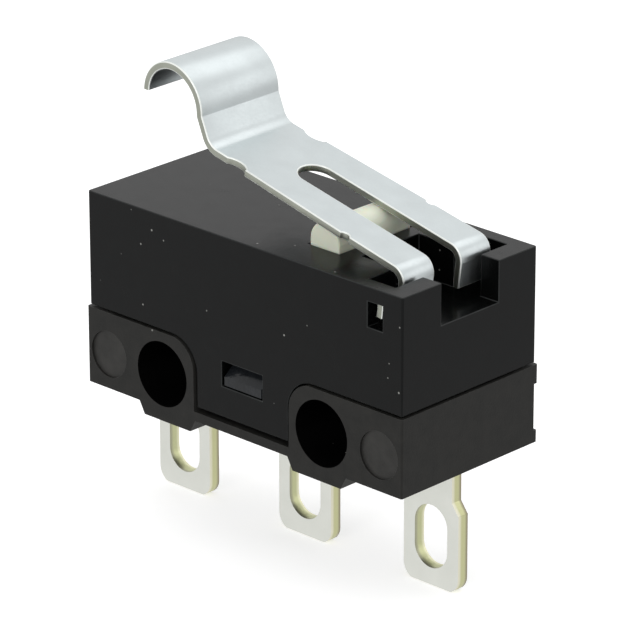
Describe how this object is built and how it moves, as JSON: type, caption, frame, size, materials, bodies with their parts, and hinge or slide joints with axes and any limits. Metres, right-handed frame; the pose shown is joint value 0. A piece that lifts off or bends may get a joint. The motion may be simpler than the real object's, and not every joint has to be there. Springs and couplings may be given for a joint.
{
  "type": "lever micro switch",
  "caption": "Ultra-subminiature snap-action switch with a forked hinge lever curled at its tip, a push plunger, a latched cover and solder terminals.",
  "frame": {"origin": "midway between the axes of the two mounting holes, at the middle of the body's thickness", "axes": "+X runs along the body towards the lever's pivot, +Y runs through the thickness along the mounting holes, +Z runs from the terminals to the lever"},
  "size_m": [0.0128, 0.0058, 0.0143],
  "materials": {
    "base_plastic": "black glass-filled polyester, matt",
    "cover_plastic": "black glass-filled polyester, satin",
    "plunger_plastic": "cream, smooth",
    "lever_steel": "stainless spring steel, satin",
    "terminal_metal": "silver plated, sheared edges show brass",
    "contact_metal": "silver alloy",
    "spring_metal": "copper alloy spring sheet"
  },
  "bodies": {
    "housing": {"base": "base_plastic", "case": "cover_plastic", "common_terminal": "terminal_metal", "normally_open_terminal": "terminal_metal", "normally_closed_terminal": "terminal_metal", "normally_open_contact": "contact_metal", "normally_closed_contact": "contact_metal", "moving_blade": "spring_metal"},
    "lever": {"lever": "lever_steel"},
    "plunger": {"plunger": "plunger_plastic"},
    "moving_contact": {"moving_contact": "contact_metal"}
  },
  "joints": [
    {"name": "lever_hinge", "type": "hinge", "parent": "housing", "child": "lever", "pos_m": [0.00528, 0, 0.00428], "axis": [0, -1, 0], "range_deg": [0, 9.5], "stiffness_Nm_per_rad": 0.01, "springref_deg": -0.06},
    {"name": "plunger_slide", "type": "slide", "parent": "housing", "child": "plunger", "axis": [0, 0, -1], "range_m": [0, 0.00056], "stiffness_N_per_m": 0.01, "springref_m": -0.008, "deforming": ["moving_blade"]},
    {"name": "contact_slide", "type": "slide", "parent": "housing", "child": "moving_contact", "axis": [0, 0, -1], "range_m": [0, 0.00035], "stiffness_N_per_m": 0.01, "springref_m": -0.0052}
  ],
  "couplings": [
    {"joint": "plunger_slide", "follows": "lever_hinge", "m_per_rad": 0.00333},
    {"joint": "contact_slide", "follows": "lever_hinge", "m_per_rad": 0.00205}
  ]
}
